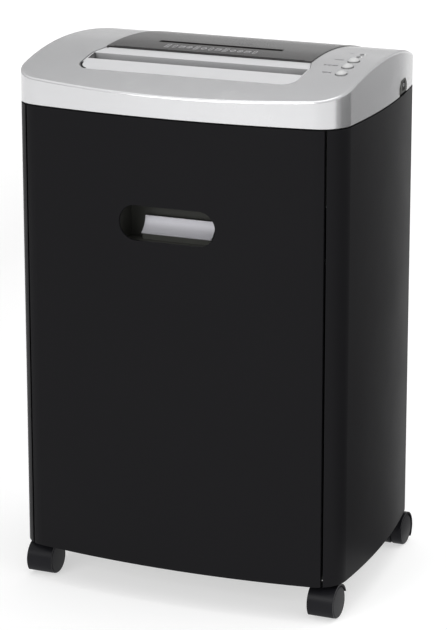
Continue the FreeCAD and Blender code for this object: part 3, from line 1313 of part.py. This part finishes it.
# ---------------------------------------------------------------- build and write
make_base_tray()
make_side_panel("left_side_panel", -1)
make_side_panel("right_side_panel", 1)
make_back_panel()
make_cord_gland()
make_bin_runners()
make_bin_front()
make_waste_bin()
make_bin_screws()
make_handle_cup()
make_grip_plate()
make_head_housing()
make_head_cover()
make_head_screws()
make_throat_insert()
make_disc_panel()
make_disc_chute()
for key_name, key_steps in KEYS:
    make_button(key_name, key_steps)
make_control_board()
make_lenses()
make_power_switch()
make_shaft("cutter_shaft_front", S.front_shaft_y, S.plate_x + S.plate_thick)
make_shaft("cutter_shaft_rear", REAR_SHAFT_Y, GEAR_START + S.gear_width + 1)
make_discs("cutter_discs_front", S.front_shaft_y, 0.0, 1)
make_discs("cutter_discs_rear", REAR_SHAFT_Y, -BLADE_GAP, -1)
comb("front_strippers", S.plate_front + 2.5, S.front_shaft_y - S.collar_radius - 0.4, S.blade_thick)
comb("rear_strippers", REAR_SHAFT_Y + S.disc_radius + 1.0, REAR_SHAFT_Y + S.collar_radius + 0.4, -BLADE_GAP)
make_frame_plates()
make_rods()
make_bushes()
make_gears()
make_motor()
make_main_board()
make_bin_switch()
for caster_name, caster_side, caster_end in CASTERS:
    make_caster(caster_name, caster_side, caster_end)

doc.recompute()
broken = [item.Name for item in doc.Objects if {"Invalid", "Error"} & set(item.State)]
empty = [name for name, made in NODES if made.Shape.isNull() or not made.Shape.isValid()]
if broken or empty:
    raise RuntimeError(f"failed features {broken}, bad shapes {empty}")
os.makedirs("parts", exist_ok=True)
for name, made in NODES:
    made.Shape.exportStep(f"parts/{name}.step")
    bounds = made.Shape.BoundBox
    print(f"{name:32s} solids {len(made.Shape.Solids):2d} volume {made.Shape.Volume:10.0f}"
          f" x {bounds.XMin:7.1f} {bounds.XMax:7.1f} y {bounds.YMin:7.1f} {bounds.YMax:7.1f}"
          f" z {bounds.ZMin:6.1f} {bounds.ZMax:6.1f}")
print(len(NODES), "nodes; reduction axis", REDUCTION, "motor axis", MOTOR, "key tilt", KEY_TILT)
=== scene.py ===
"""Looks for the desk-side paper shredder: materials, small surface details, floor, light, camera.

Metres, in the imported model's frame: +Z up, the front looks along -Y, origin on the floor.
"""
import json
import math

import bpy
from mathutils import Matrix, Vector
from mathutils.bvhtree import BVHTree


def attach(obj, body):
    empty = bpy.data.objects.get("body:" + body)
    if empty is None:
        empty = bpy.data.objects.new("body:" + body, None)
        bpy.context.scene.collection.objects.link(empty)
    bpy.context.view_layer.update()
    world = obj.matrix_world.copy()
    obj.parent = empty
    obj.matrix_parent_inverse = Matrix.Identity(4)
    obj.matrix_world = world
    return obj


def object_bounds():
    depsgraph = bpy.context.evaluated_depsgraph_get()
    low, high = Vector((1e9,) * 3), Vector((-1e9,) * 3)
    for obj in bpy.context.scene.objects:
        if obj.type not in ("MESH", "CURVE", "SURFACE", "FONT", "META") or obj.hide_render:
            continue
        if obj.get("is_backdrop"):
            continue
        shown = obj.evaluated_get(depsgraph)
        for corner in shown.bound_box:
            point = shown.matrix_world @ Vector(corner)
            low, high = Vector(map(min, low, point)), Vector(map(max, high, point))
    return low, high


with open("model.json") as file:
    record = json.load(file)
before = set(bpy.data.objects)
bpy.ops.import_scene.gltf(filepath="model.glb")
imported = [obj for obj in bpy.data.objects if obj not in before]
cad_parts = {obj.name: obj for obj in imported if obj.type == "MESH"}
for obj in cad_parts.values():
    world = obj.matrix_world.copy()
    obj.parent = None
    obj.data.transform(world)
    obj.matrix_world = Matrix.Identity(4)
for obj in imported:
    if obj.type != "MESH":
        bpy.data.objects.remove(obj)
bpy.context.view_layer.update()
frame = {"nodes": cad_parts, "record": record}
MM = 0.001
ABOVE = 500.0   # marks are drawn at this height, in millimetres, and dropped from there
BESIDE = 200.0  # marks for the right side start this far out


# ---------------------------------------------------------------- materials
def finish_material(name, colour, metal=0.0, rough=0.4, spread=0.06, grain=900.0, bump=0.05,
                    depth=0.02, stretch=(1, 1, 1), shade=0.04, blotch=9.0, coat=0.0, coat_rough=0.1,
                    edge=0.35, specular=0.5, worn=0.0, crevice=0.0):
    """A surface with fine grain, slow colour change, uneven sheen and softly rounded edges.

    depth, edge and crevice are millimetres; worn lightens the outer edges, and crevice is how
    near a facing wall has to be for the colour to be darkened in its corners, as painted shade.
    """
    material = bpy.data.materials.new(name)
    material.use_nodes = True
    nodes, links = material.node_tree.nodes, material.node_tree.links
    shader = nodes["Principled BSDF"]
    shader.inputs["Metallic"].default_value = metal
    shader.inputs["Coat Weight"].default_value = coat
    shader.inputs["Coat Roughness"].default_value = coat_rough
    shader.inputs["Specular IOR Level"].default_value = specular

    place = nodes.new("ShaderNodeTexCoord")
    scaled = nodes.new("ShaderNodeMapping")
    scaled.inputs["Scale"].default_value = stretch
    links.new(place.outputs["Object"], scaled.inputs["Vector"])

    fine = nodes.new("ShaderNodeTexNoise")
    fine.inputs["Scale"].default_value = grain
    fine.inputs["Detail"].default_value = 3.0
    links.new(scaled.outputs["Vector"], fine.inputs["Vector"])

    slow = nodes.new("ShaderNodeTexNoise")
    slow.inputs["Scale"].default_value = blotch
    slow.inputs["Detail"].default_value = 4.0
    links.new(place.outputs["Object"], slow.inputs["Vector"])

    both = nodes.new("ShaderNodeMath")
    both.operation = "ADD"
    links.new(fine.outputs["Fac"], both.inputs[0])
    links.new(slow.outputs["Fac"], both.inputs[1])

    sheen = nodes.new("ShaderNodeMapRange")
    sheen.inputs["From Min"].default_value = 0.6
    sheen.inputs["From Max"].default_value = 1.4
    sheen.inputs["To Min"].default_value = max(0.03, rough - spread)
    sheen.inputs["To Max"].default_value = min(1.0, rough + spread)
    links.new(both.outputs["Value"], sheen.inputs["Value"])
    links.new(sheen.outputs["Result"], shader.inputs["Roughness"])

    tint = nodes.new("ShaderNodeMapRange")
    tint.inputs["From Min"].default_value = 0.6
    tint.inputs["From Max"].default_value = 1.4
    tint.inputs["To Min"].default_value = 1.0 - shade
    tint.inputs["To Max"].default_value = 1.0 + shade
    links.new(both.outputs["Value"], tint.inputs["Value"])
    toned = nodes.new("ShaderNodeVectorMath")
    toned.operation = "SCALE"
    toned.inputs[0].default_value = colour
    links.new(tint.outputs["Result"], toned.inputs["Scale"])

    tone = toned.outputs["Vector"]
    # painted shade: ambient occlusion darkens the base colour in corners and slots within crevice
    # millimetres
    if crevice:
        shaded = nodes.new("ShaderNodeAmbientOcclusion")
        shaded.samples = 8
        shaded.inputs["Distance"].default_value = crevice * MM
        links.new(tone, shaded.inputs["Color"])
        tone = shaded.outputs["Color"]

    soft_edge = nodes.new("ShaderNodeBevel")
    soft_edge.samples = 4
    soft_edge.inputs["Radius"].default_value = edge * MM
    relief = nodes.new("ShaderNodeBump")
    relief.inputs["Strength"].default_value = bump
    relief.inputs["Distance"].default_value = depth * MM
    links.new(fine.outputs["Fac"], relief.inputs["Height"])
    links.new(soft_edge.outputs["Normal"], relief.inputs["Normal"])
    links.new(relief.outputs["Normal"], shader.inputs["Normal"])

    if worn:
        geometry = nodes.new("ShaderNodeNewGeometry")
        turned = nodes.new("ShaderNodeVectorMath")
        turned.operation = "DOT_PRODUCT"
        links.new(soft_edge.outputs["Normal"], turned.inputs[0])
        links.new(geometry.outputs["Normal"], turned.inputs[1])
        rubbed = nodes.new("ShaderNodeMapRange")
        rubbed.inputs["From Min"].default_value = 0.99
        rubbed.inputs["From Max"].default_value = 0.85
        rubbed.inputs["To Max"].default_value = worn
        links.new(turned.outputs["Value"], rubbed.inputs["Value"])
        mixed = nodes.new("ShaderNodeMix")
        mixed.data_type = "RGBA"
        mixed.inputs["B"].default_value = (*[min(1.0, 2.2 * part + 0.05) for part in colour], 1)
        links.new(rubbed.outputs["Result"], mixed.inputs["Factor"])
        links.new(tone, mixed.inputs["A"])
        links.new(mixed.outputs["Result"], shader.inputs["Base Color"])
    else:
        links.new(tone, shader.inputs["Base Color"])
    return material


BRUSHED_X = (0.02, 1, 1)
SURFACES = {
    "black_shell": dict(colour=(0.0088, 0.0086, 0.0096), rough=0.42, grain=1500, bump=0.10,
                        depth=0.03, specular=0.05, edge=0.5, worn=0.2),
    "black_plastic": dict(colour=(0.042, 0.043, 0.038), rough=0.5, grain=1100, bump=0.2, depth=0.04,
                          specular=0.3),
    "tub_plastic": dict(colour=(0.030, 0.030, 0.032), rough=0.55, grain=700, bump=0.25, depth=0.05),
    "silver_shell": dict(colour=(0.60, 0.60, 0.61), metal=0.80, rough=0.25, grain=2600, spread=0.05,
                         shade=0.05, bump=0.10, depth=0.015, coat=0.05, coat_rough=0.2, edge=0.8),
    # light_insert and button_plastic use crevice: painted shade darkens their colour in the slot walls
    # and key dishes
    "light_insert": dict(colour=(0.55, 0.55, 0.56), rough=0.42, grain=1500, bump=0.12, depth=0.03,
                         edge=0.5, crevice=22),
    "dark_panel": dict(colour=(0.014, 0.0125, 0.0125), rough=0.24, grain=1200, bump=0.05, coat=0.1,
                       coat_rough=0.12, specular=0.4, edge=0.5),
    "button_plastic": dict(colour=(0.50, 0.50, 0.50), rough=0.22, grain=800, bump=0.03, coat=0.4,
                           coat_rough=0.1, edge=0.3, crevice=3),
    "rocker_plastic": dict(colour=(0.012, 0.012, 0.012), rough=0.2, coat=0.4, edge=0.3),
    "lamp_lens": dict(colour=(0.02, 0.02, 0.022), rough=0.12, coat=0.8, coat_rough=0.04, edge=0.3),
    "satin_metal": dict(colour=(0.62, 0.615, 0.655), metal=0.25, rough=0.55, grain=2400,
                        stretch=BRUSHED_X, bump=0.25, depth=0.02, shade=0.07, edge=0.3),
    "blade_steel": dict(colour=(0.42, 0.42, 0.43), metal=1.0, rough=0.34, grain=1800, bump=0.2,
                        edge=0.15, worn=0.5),
    "shaft_steel": dict(colour=(0.50, 0.50, 0.51), metal=1.0, rough=0.30, grain=2400,
                        stretch=(1, 0.05, 0.05), bump=0.2, edge=0.2),
    "plate_steel": dict(colour=(0.52, 0.53, 0.55), metal=1.0, rough=0.42, grain=500, shade=0.12,
                        blotch=60, bump=0.1, edge=0.3),
    "screw_steel": dict(colour=(0.42, 0.42, 0.43), metal=1.0, rough=0.35, grain=1500, bump=0.1,
                        edge=0.2),
    "gear_steel": dict(colour=(0.34, 0.34, 0.35), metal=1.0, rough=0.38, grain=1200, bump=0.15,
                       shade=0.1, edge=0.2, worn=0.5),
    "bush_brass": dict(colour=(0.55, 0.40, 0.19), metal=1.0, rough=0.45, grain=1600, bump=0.2,
                       edge=0.2),
    "comb_plastic": dict(colour=(0.07, 0.07, 0.075), rough=0.5, grain=900, bump=0.2),
    "motor_can": dict(colour=(0.20, 0.205, 0.21), metal=0.6, rough=0.38, grain=1100, bump=0.15,
                      edge=0.5),
    "board": dict(colour=(0.02, 0.10, 0.045), rough=0.35, grain=700, shade=0.12, coat=0.3),
    "caster_plastic": dict(colour=(0.009, 0.009, 0.011), rough=0.36, grain=900, bump=0.12,
                           depth=0.03, specular=0.12, edge=0.5),
    "caster_wheel": dict(colour=(0.010, 0.010, 0.012), rough=0.40, grain=800, bump=0.18, depth=0.03,
                         specular=0.12, edge=0.5),
    "caster_stem": dict(colour=(0.48, 0.48, 0.49), metal=1.0, rough=0.3, grain=1800,
                        stretch=(1, 1, 0.05), bump=0.15, edge=0.2),
}
materials = {slot: finish_material(slot, **look) for slot, look in SURFACES.items()}
for part in frame["record"]["subparts"]:
    mesh = frame["nodes"][part["node"]].data
    mesh.materials.clear()
    mesh.materials.append(materials[part["material_slot"]])

# print_white and print_grey are print; the near-black one below is painted shade for the shadow lines,
# and the pale one is a painted highlight beside the lamps
print_white = finish_material("print_white", (0.40, 0.40, 0.41), rough=0.5, grain=1500, shade=0.06)
print_grey = finish_material("print_grey", (0.10, 0.10, 0.105), rough=0.5, grain=1500, shade=0.06)
painted_shade_black = finish_material("painted_shade_black", (0.012, 0.012, 0.013), rough=0.6, grain=1500,
                              specular=0.1)
painted_glint_pale = finish_material("painted_glint_pale", (0.85, 0.85, 0.84), rough=0.4, grain=1500, shade=0.04)


# ---------------------------------------------------------------- printed marks, painted shade lines and painted highlights
def surface_of(node):
    """A search tree over a node's faces, to lay marks on it."""
    mesh = frame["nodes"][node].data
    return BVHTree.FromPolygons([vertex.co.copy() for vertex in mesh.vertices],
                                [tuple(face.vertices) for face in mesh.polygons])


def marks(name, host, body, outlines, material, toward=Vector((0, 0, -1)), lift=0.03):
    """Thin printed shapes, and thin painted shade and highlight shapes, that lie on a host's surface.

    Each outline is a list of points in millimetres, dropped along toward onto the host; lift is
    how far they stand off it.
    """
    tree = surface_of(host)
    vertices, faces = [], []
    for outline in outlines:
        first = len(vertices)
        for point in outline:
            start = Vector(point) * MM - toward * 0.05
            hit, normal, _, _ = tree.ray_cast(start, toward)
            if hit is None:
                raise RuntimeError(f"{name}: nothing of {host} under {point}")
            vertices.append(hit - toward * lift * MM)
        faces.append(tuple(range(first, len(vertices))))
    mesh = bpy.data.meshes.new(name)
    mesh.from_pydata(vertices, [], faces)
    mesh.materials.append(material)
    piece = bpy.data.objects.new(name, mesh)
    bpy.context.scene.collection.objects.link(piece)
    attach(piece, body)
    return piece


def ring(x, y, outer, inner, start=0, end=360, steps=20):
    """An arc band as small quads, in the X-Y plane."""
    quads = []
    for step in range(steps):
        a, b = (math.radians(start + (end - start) * part / steps) for part in (step, step + 1))
        quads.append([(x + r * math.cos(t), y + r * math.sin(t), ABOVE)
                      for r, t in ((inner, a), (outer, a), (outer, b), (inner, b))])
    return quads


def bar(x0, y0, x1, y1):
    return [[(x0, y0, ABOVE), (x1, y0, ABOVE), (x1, y1, ABOVE), (x0, y1, ABOVE)]]


def slanted(x0, y0, x1, y1, width):
    """A stroke of that width from one point to the other."""
    dx, dy = x1 - x0, y1 - y0
    size = math.hypot(dx, dy)
    nx, ny = -dy / size * width / 2, dx / size * width / 2
    return [[(x0 + nx, y0 + ny, ABOVE), (x1 + nx, y1 + ny, ABOVE), (x1 - nx, y1 - ny, ABOVE),
             (x0 - nx, y0 - ny, ABOVE)]]


def frame_box(x, y, half, tall, width):
    """A rectangular outline drawn with four strokes."""
    return (bar(x - half, y - tall, x + half, y - tall + width)
            + bar(x - half, y + tall - width, x + half, y + tall)
            + bar(x - half, y - tall + width, x - half + width, y + tall - width)
            + bar(x + half - width, y - tall + width, x + half, y + tall - width))


def sheet_icon(x, y):
    return frame_box(x, y, 2.1, 4.2, 0.6) + bar(x - 1.1, y - 1.6, x + 1.1, y - 0.8) \
        + bar(x - 1.1, y + 0.8, x + 1.1, y + 1.6)


def disc_icon(x, y):
    return ring(x, y, 2.7, 2.0) + ring(x, y, 1.0, 0.4)


def card_icon(x, y):
    return frame_box(x, y, 2.7, 2.6, 0.6) + bar(x - 2.1, y + 0.5, x + 2.1, y + 1.3)


def clip_icon(x, y):
    return ring(x, y + 2.2, 1.6, 1.0, 0, 180, 10) + ring(x, y - 2.2, 1.6, 1.0, 180, 360, 10) \
        + bar(x - 1.6, y - 2.2, x - 1.0, y + 2.2) + bar(x + 1.0, y - 2.2, x + 1.6, y + 2.2)


def barred_icon(x, y):
    return ring(x, y, 2.7, 2.0) + slanted(x - 1.6, y - 1.6, x + 1.6, y + 1.6, 0.6)


def box_of(node):
    """A node's lowest and highest corner, in millimetres."""
    places = [vertex.co / MM for vertex in frame["nodes"][node].data.vertices]
    return [Vector(pick(place[axis] for place in places) for axis in range(3)) for pick in (min, max)]


def stretched(quads, y, factor):
    """The same shapes drawn longer towards the back, about y."""
    return [[(px, y + (py - y) * factor, pz) for px, py, pz in quad] for quad in quads]


PANEL_LOW, PANEL_HIGH = box_of("disc_panel")
ICON_Y = PANEL_LOW.y + 14.5
REAR_MARK_Y = PANEL_LOW.y + 46
ICON_START, ICON_PITCH, ICON_STRETCH = -47.5, 7.4, 1.35
ICONS = [sheet_icon, clip_icon, card_icon, disc_icon, sheet_icon, barred_icon, clip_icon, card_icon,
         sheet_icon, barred_icon, disc_icon, card_icon, clip_icon]
icons = [quad for place, draw in enumerate(ICONS)
         for quad in stretched(draw(ICON_START + place * ICON_PITCH, ICON_Y), ICON_Y, ICON_STRETCH)]
marks("panel_icons", "disc_panel", "cabinet", icons, print_white)
marks("panel_rear_mark", "disc_panel", "cabinet",
      stretched(ring(12.0, REAR_MARK_Y, 2.2, 1.4)
                + bar(16.0, PANEL_LOW.y + 45, 25.0, PANEL_LOW.y + 47.2), REAR_MARK_Y, 1.5), print_grey)


def symbol_row(x, y, kinds):
    """Generic symbols in a row that ends at x: b a block, s a stroke, f or r an arrow head."""
    quads = []
    for place, kind in enumerate(reversed(kinds)):
        middle = x - 2.3 * place
        if kind == "b":
            quads += frame_box(middle, y, 0.95, 1.5, 0.7)
        elif kind == "s":
            quads += bar(middle - 1.1, y - 0.5, middle + 1.1, y + 0.5)
        else:
            tip = 0.9 if kind == "f" else -0.9
            quads += slanted(middle - tip, y + 1.6, middle + tip, y, 0.8)
            quads += slanted(middle - tip, y - 1.6, middle + tip, y, 0.8)
    return quads


LABELS = {"reverse_button": "rbsr", "stop_button": "bsbsbb", "auto_button": "fsbf"}
LABEL_GAP = 10.8
key_marks = []
for key, kinds in LABELS.items():
    low, high = box_of(key)
    key_marks += symbol_row((low.x + high.x) / 2 - LABEL_GAP, (low.y + high.y) / 2, kinds)
lens_low, lens_high = box_of("indicator_lenses")
LENS = 1.9
# painted highlight: pale arcs on the right side of each lamp stand in for a highlight beside it
lamp_glint_arcs = []
for x, y in ((lens_high.x - LENS, lens_low.y + LENS), (lens_low.x + LENS, lens_high.y - LENS)):
    lamp_glint_arcs += ring(x, y, 3.3, 2.5, 300, 420, 12)
key_marks += symbol_row(lens_low.x - 9.5, lens_high.y + 2, "sb")
marks("key_symbols", "head_cover", "cabinet", key_marks, print_grey)
marks("lamp_glint_crescents", "head_cover", "cabinet", lamp_glint_arcs, painted_glint_pale)


def ribbon(points, width):
    """A line of even width through the points, as quads."""
    return [quad for (x0, y0), (x1, y1) in zip(points, points[1:])
            for quad in slanted(x0, y0, x1, y1, width)]


# painted shadow: a black line along the left end and front-left corner of the throat insert stands in
# for the shaded gap at the cover's cut edge
INSERT_LOW, INSERT_HIGH = box_of("throat_insert")
SHADE_INSET, CORNER, SHOULDER, STRIP_STEP = 1.5, 14.0, 17.2, 6.6
shade_x, shade_y = INSERT_LOW.x + SHADE_INSET, INSERT_LOW.y + SHADE_INSET
turn = CORNER - SHADE_INSET
corner_line = [(shade_x + turn * (1 - math.cos(math.radians(9 * step))),
                shade_y + turn * (1 - math.sin(math.radians(9 * step)))) for step in range(9)]
end_line = [(shade_x + STRIP_STEP, INSERT_HIGH.y - 0.8),
            (shade_x, INSERT_HIGH.y - SHOULDER)] + corner_line
marks("insert_shadow_line", "throat_insert", "cabinet", ribbon(end_line, 2.1),
      painted_shade_black)
# painted shade: a black bar along the disc panel's front edge stands in for its front face in shade
marks("panel_front_shade_line", "disc_panel", "cabinet",
      bar(PANEL_LOW.x + 7, PANEL_LOW.y + 0.2, PANEL_HIGH.x - 7, PANEL_LOW.y + 1.8), painted_shade_black)

ROCKER_LOW, ROCKER_HIGH = box_of("power_rocker")
rocker_y, rocker_z = (ROCKER_LOW.y + ROCKER_HIGH.y) / 2, (ROCKER_LOW.z + ROCKER_HIGH.z) / 2


def upright(quads):
    """Shapes drawn in X-Y, stood up on the right side: X becomes Y and Y becomes Z."""
    return [[(BESIDE, px, py) for px, py, _ in quad] for quad in quads]


marks("power_marks", "power_rocker", "rocker",
      upright(bar(rocker_y - 4.6, rocker_z - 1.8, rocker_y - 3.6, rocker_z + 1.8)
              + ring(rocker_y + 3.6, rocker_z, 1.5, 0.9)), print_white, toward=Vector((-1, 0, 0)))


# ---------------------------------------------------------------- floor, light and camera
def aim(thing, target):
    thing.rotation_mode = "QUATERNION"
    thing.rotation_quaternion = (target - thing.location).to_track_quat("-Z", "Y")


def softbox(name, place, target, size, tall, power):
    light = bpy.data.lights.new(name, "AREA")
    light.shape = "RECTANGLE"
    light.size, light.size_y = size, tall
    light.energy = power
    lamp = bpy.data.objects.new(name, light)
    lamp.location = place
    bpy.context.scene.collection.objects.link(lamp)
    aim(lamp, Vector(target))


bpy.ops.mesh.primitive_plane_add(size=30.0, location=(0, 0, -0.0002))
floor = bpy.context.object
floor.name = "floor"
floor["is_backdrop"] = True
floor.data.materials.append(finish_material("floor_paper", (0.55, 0.55, 0.55), rough=0.9, grain=300,
                                            shade=0.005, bump=0.0, specular=0.0))
glow = floor.data.materials[0].node_tree.nodes["Principled BSDF"]
glow.inputs["Emission Color"].default_value = (1, 1, 1, 1)
glow.inputs["Emission Strength"].default_value = 0.55

world = bpy.data.worlds.new("studio")
bpy.context.scene.world = world
world.use_nodes = True
sky, sky_links = world.node_tree.nodes, world.node_tree.links
direction = sky.new("ShaderNodeTexCoord")
height = sky.new("ShaderNodeSeparateXYZ")
brighter = sky.new("ShaderNodeMapRange")
brighter.inputs["From Min"].default_value = 0.0
brighter.inputs["From Max"].default_value = 1.0
brighter.inputs["To Min"].default_value = 0.52
brighter.inputs["To Max"].default_value = 1.40
sky_links.new(direction.outputs["Generated"], height.inputs["Vector"])
sky_links.new(height.outputs["Z"], brighter.inputs["Value"])
sky_links.new(brighter.outputs["Result"], sky["Background"].inputs["Strength"])
sky["Background"].inputs["Color"].default_value = (1, 1, 1, 1)

softbox("front_light", (-0.6, -2.6, 1.3), (0, 0, 0.45), 1.2, 0.8, 22)
softbox("top_light", (0.0, 0.2, 2.6), (0, 0, 0.4), 1.6, 1.6, 10)


def card(name, points, tone, seen_in):
    """A card off camera that casts no shadow; seen_in is glossy or diffuse, the light it blocks."""
    mesh = bpy.data.meshes.new(name)
    mesh.from_pydata(points, [], [tuple(range(len(points)))])
    mesh.materials.append(finish_material(f"{name}_paint", (tone, tone, tone), rough=0.9, grain=50,
                                          bump=0.0, specular=0.0))
    made = bpy.data.objects.new(name, mesh)
    bpy.context.scene.collection.objects.link(made)
    made.visible_camera = made.visible_shadow = False
    made.visible_glossy = seen_in == "glossy"
    made.visible_diffuse = seen_in == "diffuse"
    made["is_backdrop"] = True


def floor_wedge(name, start, end, tone):
    """A card on the floor to the right of the object, between two directions in degrees."""
    rays = [math.radians(start + (end - start) * step / 6) for step in range(7)]
    points = [(0.15 + reach * math.cos(a), reach * math.sin(a) - 0.05, 0.001)
              for reach, turn in ((0.12, rays), (4.0, rays[::-1])) for a in turn]
    card(name, points, tone, "glossy")


floor_wedge("corner_start", -14, 4, 0.20)
floor_wedge("corner_wedge", 4, 60, 0.0)
floor_wedge("side_wedge", 60, 88, 0.30)
card("rear_ceiling", [(-5, 0.8, 0.75), (5, 0.8, 0.75), (5, 0.3, 3.0), (-5, 0.3, 3.0)], 0.66,
     "glossy")
card("left_wall", [(-0.8, -1.5, 0), (-0.8, 2.0, 0), (-0.8, 2.0, 1.6), (-0.8, -1.5, 1.6)], 0.0,
     "diffuse")

camera = bpy.data.objects.new("camera", bpy.data.cameras.new("camera"))
bpy.context.scene.collection.objects.link(camera)
bpy.context.scene.camera = camera
camera.location = (1.0611, -2.3751, 0.9678)
camera.rotation_euler = (math.radians(74.595), 0.0, math.radians(24.122))
camera.data.lens = 159.98
camera.data.sensor_width = 36.0
camera.data.clip_start, camera.data.clip_end = 0.05, 100.0
bpy.context.scene.view_settings.view_transform = "Standard"

low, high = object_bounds()
